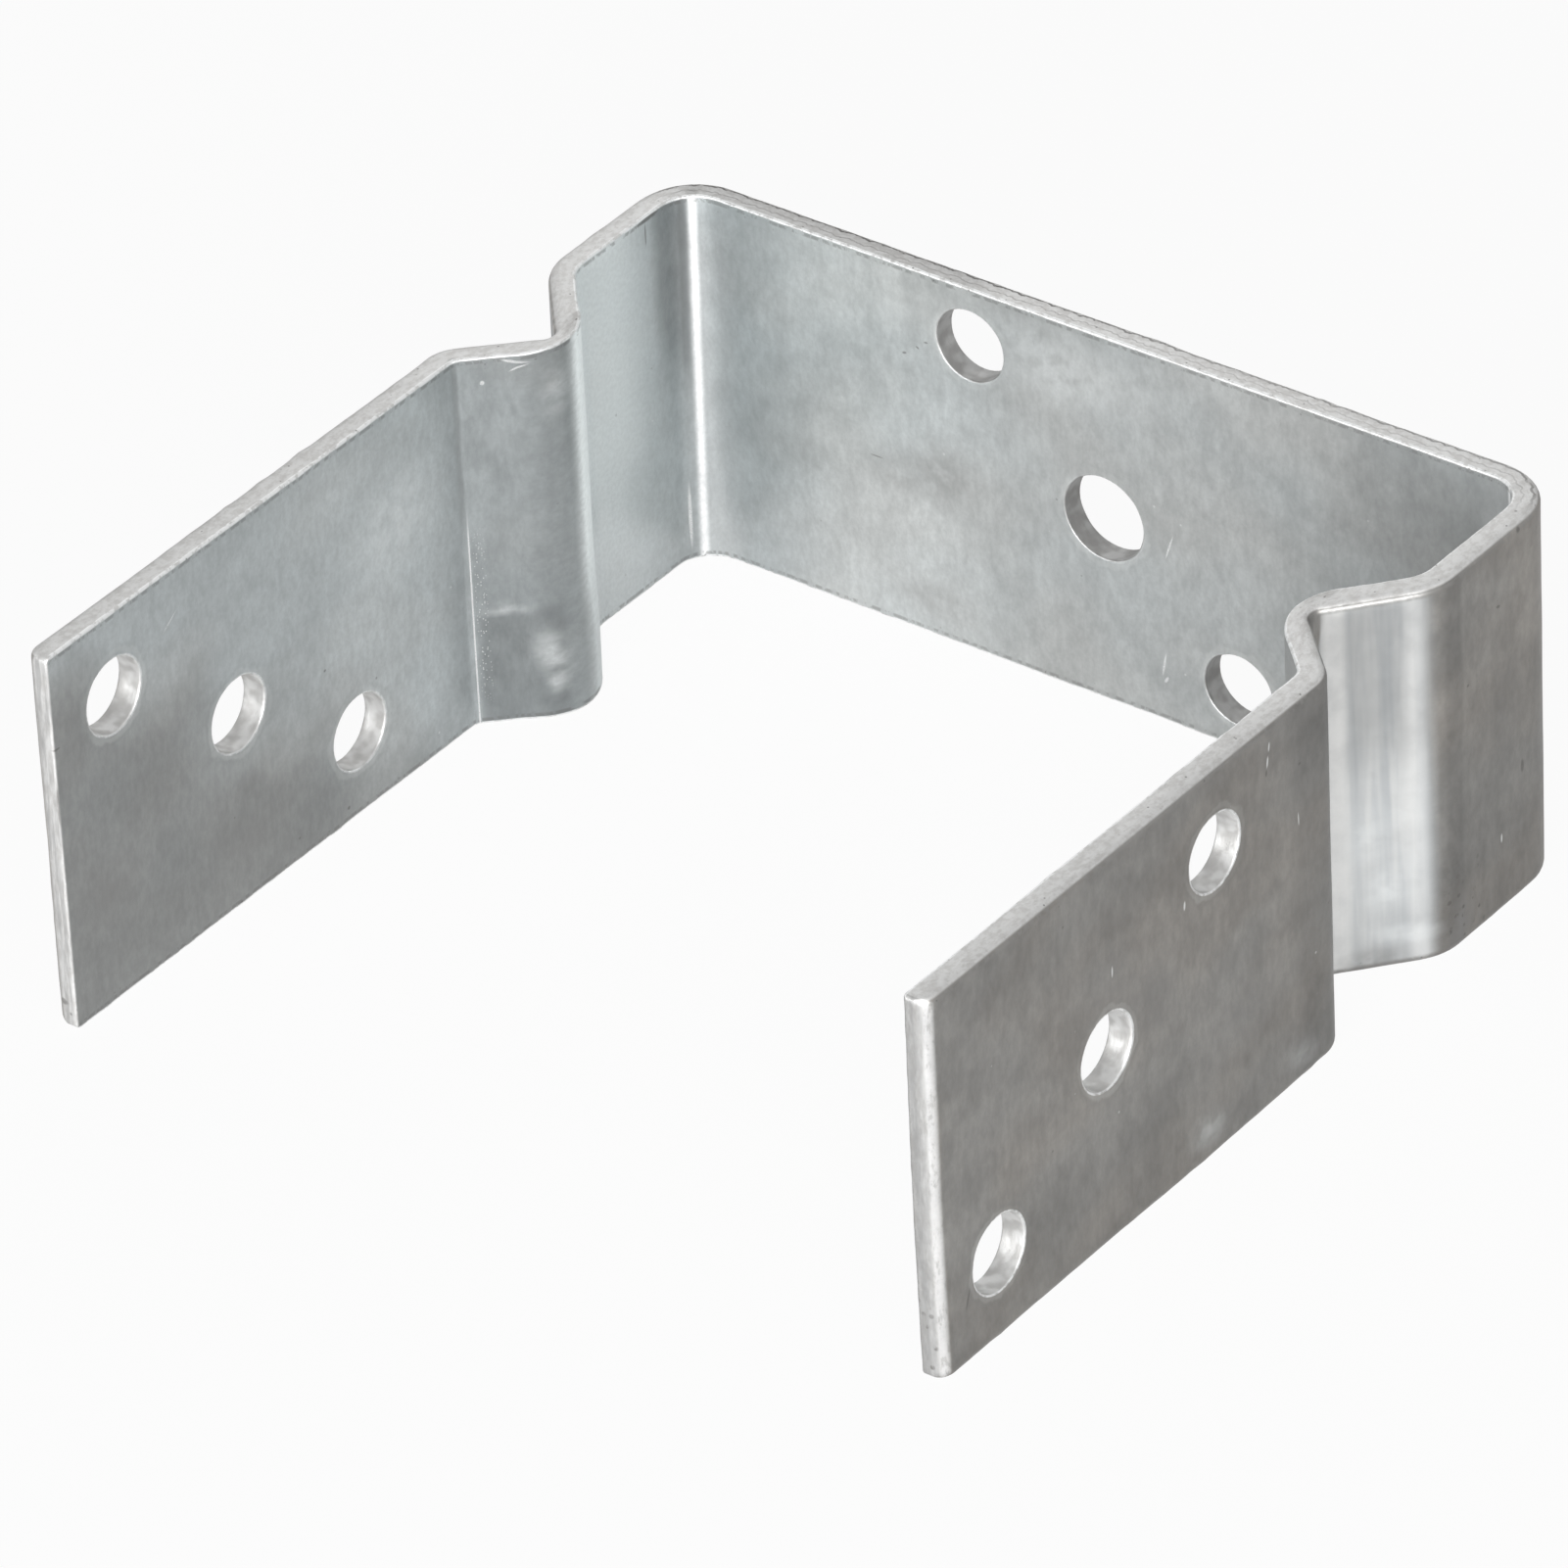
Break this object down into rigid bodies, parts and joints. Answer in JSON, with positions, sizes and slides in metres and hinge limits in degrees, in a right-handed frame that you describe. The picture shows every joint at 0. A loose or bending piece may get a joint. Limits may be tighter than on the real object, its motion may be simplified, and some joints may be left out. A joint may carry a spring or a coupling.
{
  "type": "fence post anchor",
  "caption": "U-shaped galvanised post anchor folded from one steel strip: base plate, two legs with slanting rows of holes, and an inward rib in each leg that holds the post off the ground.",
  "frame": {"origin": "centre of the middle base hole, on the face of the base plate that goes against the concrete", "axes": "+Y out of the base plate towards the concrete, so the legs reach along -Y; X across the opening between the legs; +Z along the strip's width, because the part lies on its strip edges as in the picture"},
  "size_m": [0.149, 0.145, 0.06],
  "materials": {
    "galvanised_steel": "dull zinc-coated steel, faintly mottled, with brighter rubbed edges"
  },
  "bodies": {
    "root": {"post_anchor": "galvanised_steel"}
  },
  "joints": []
}
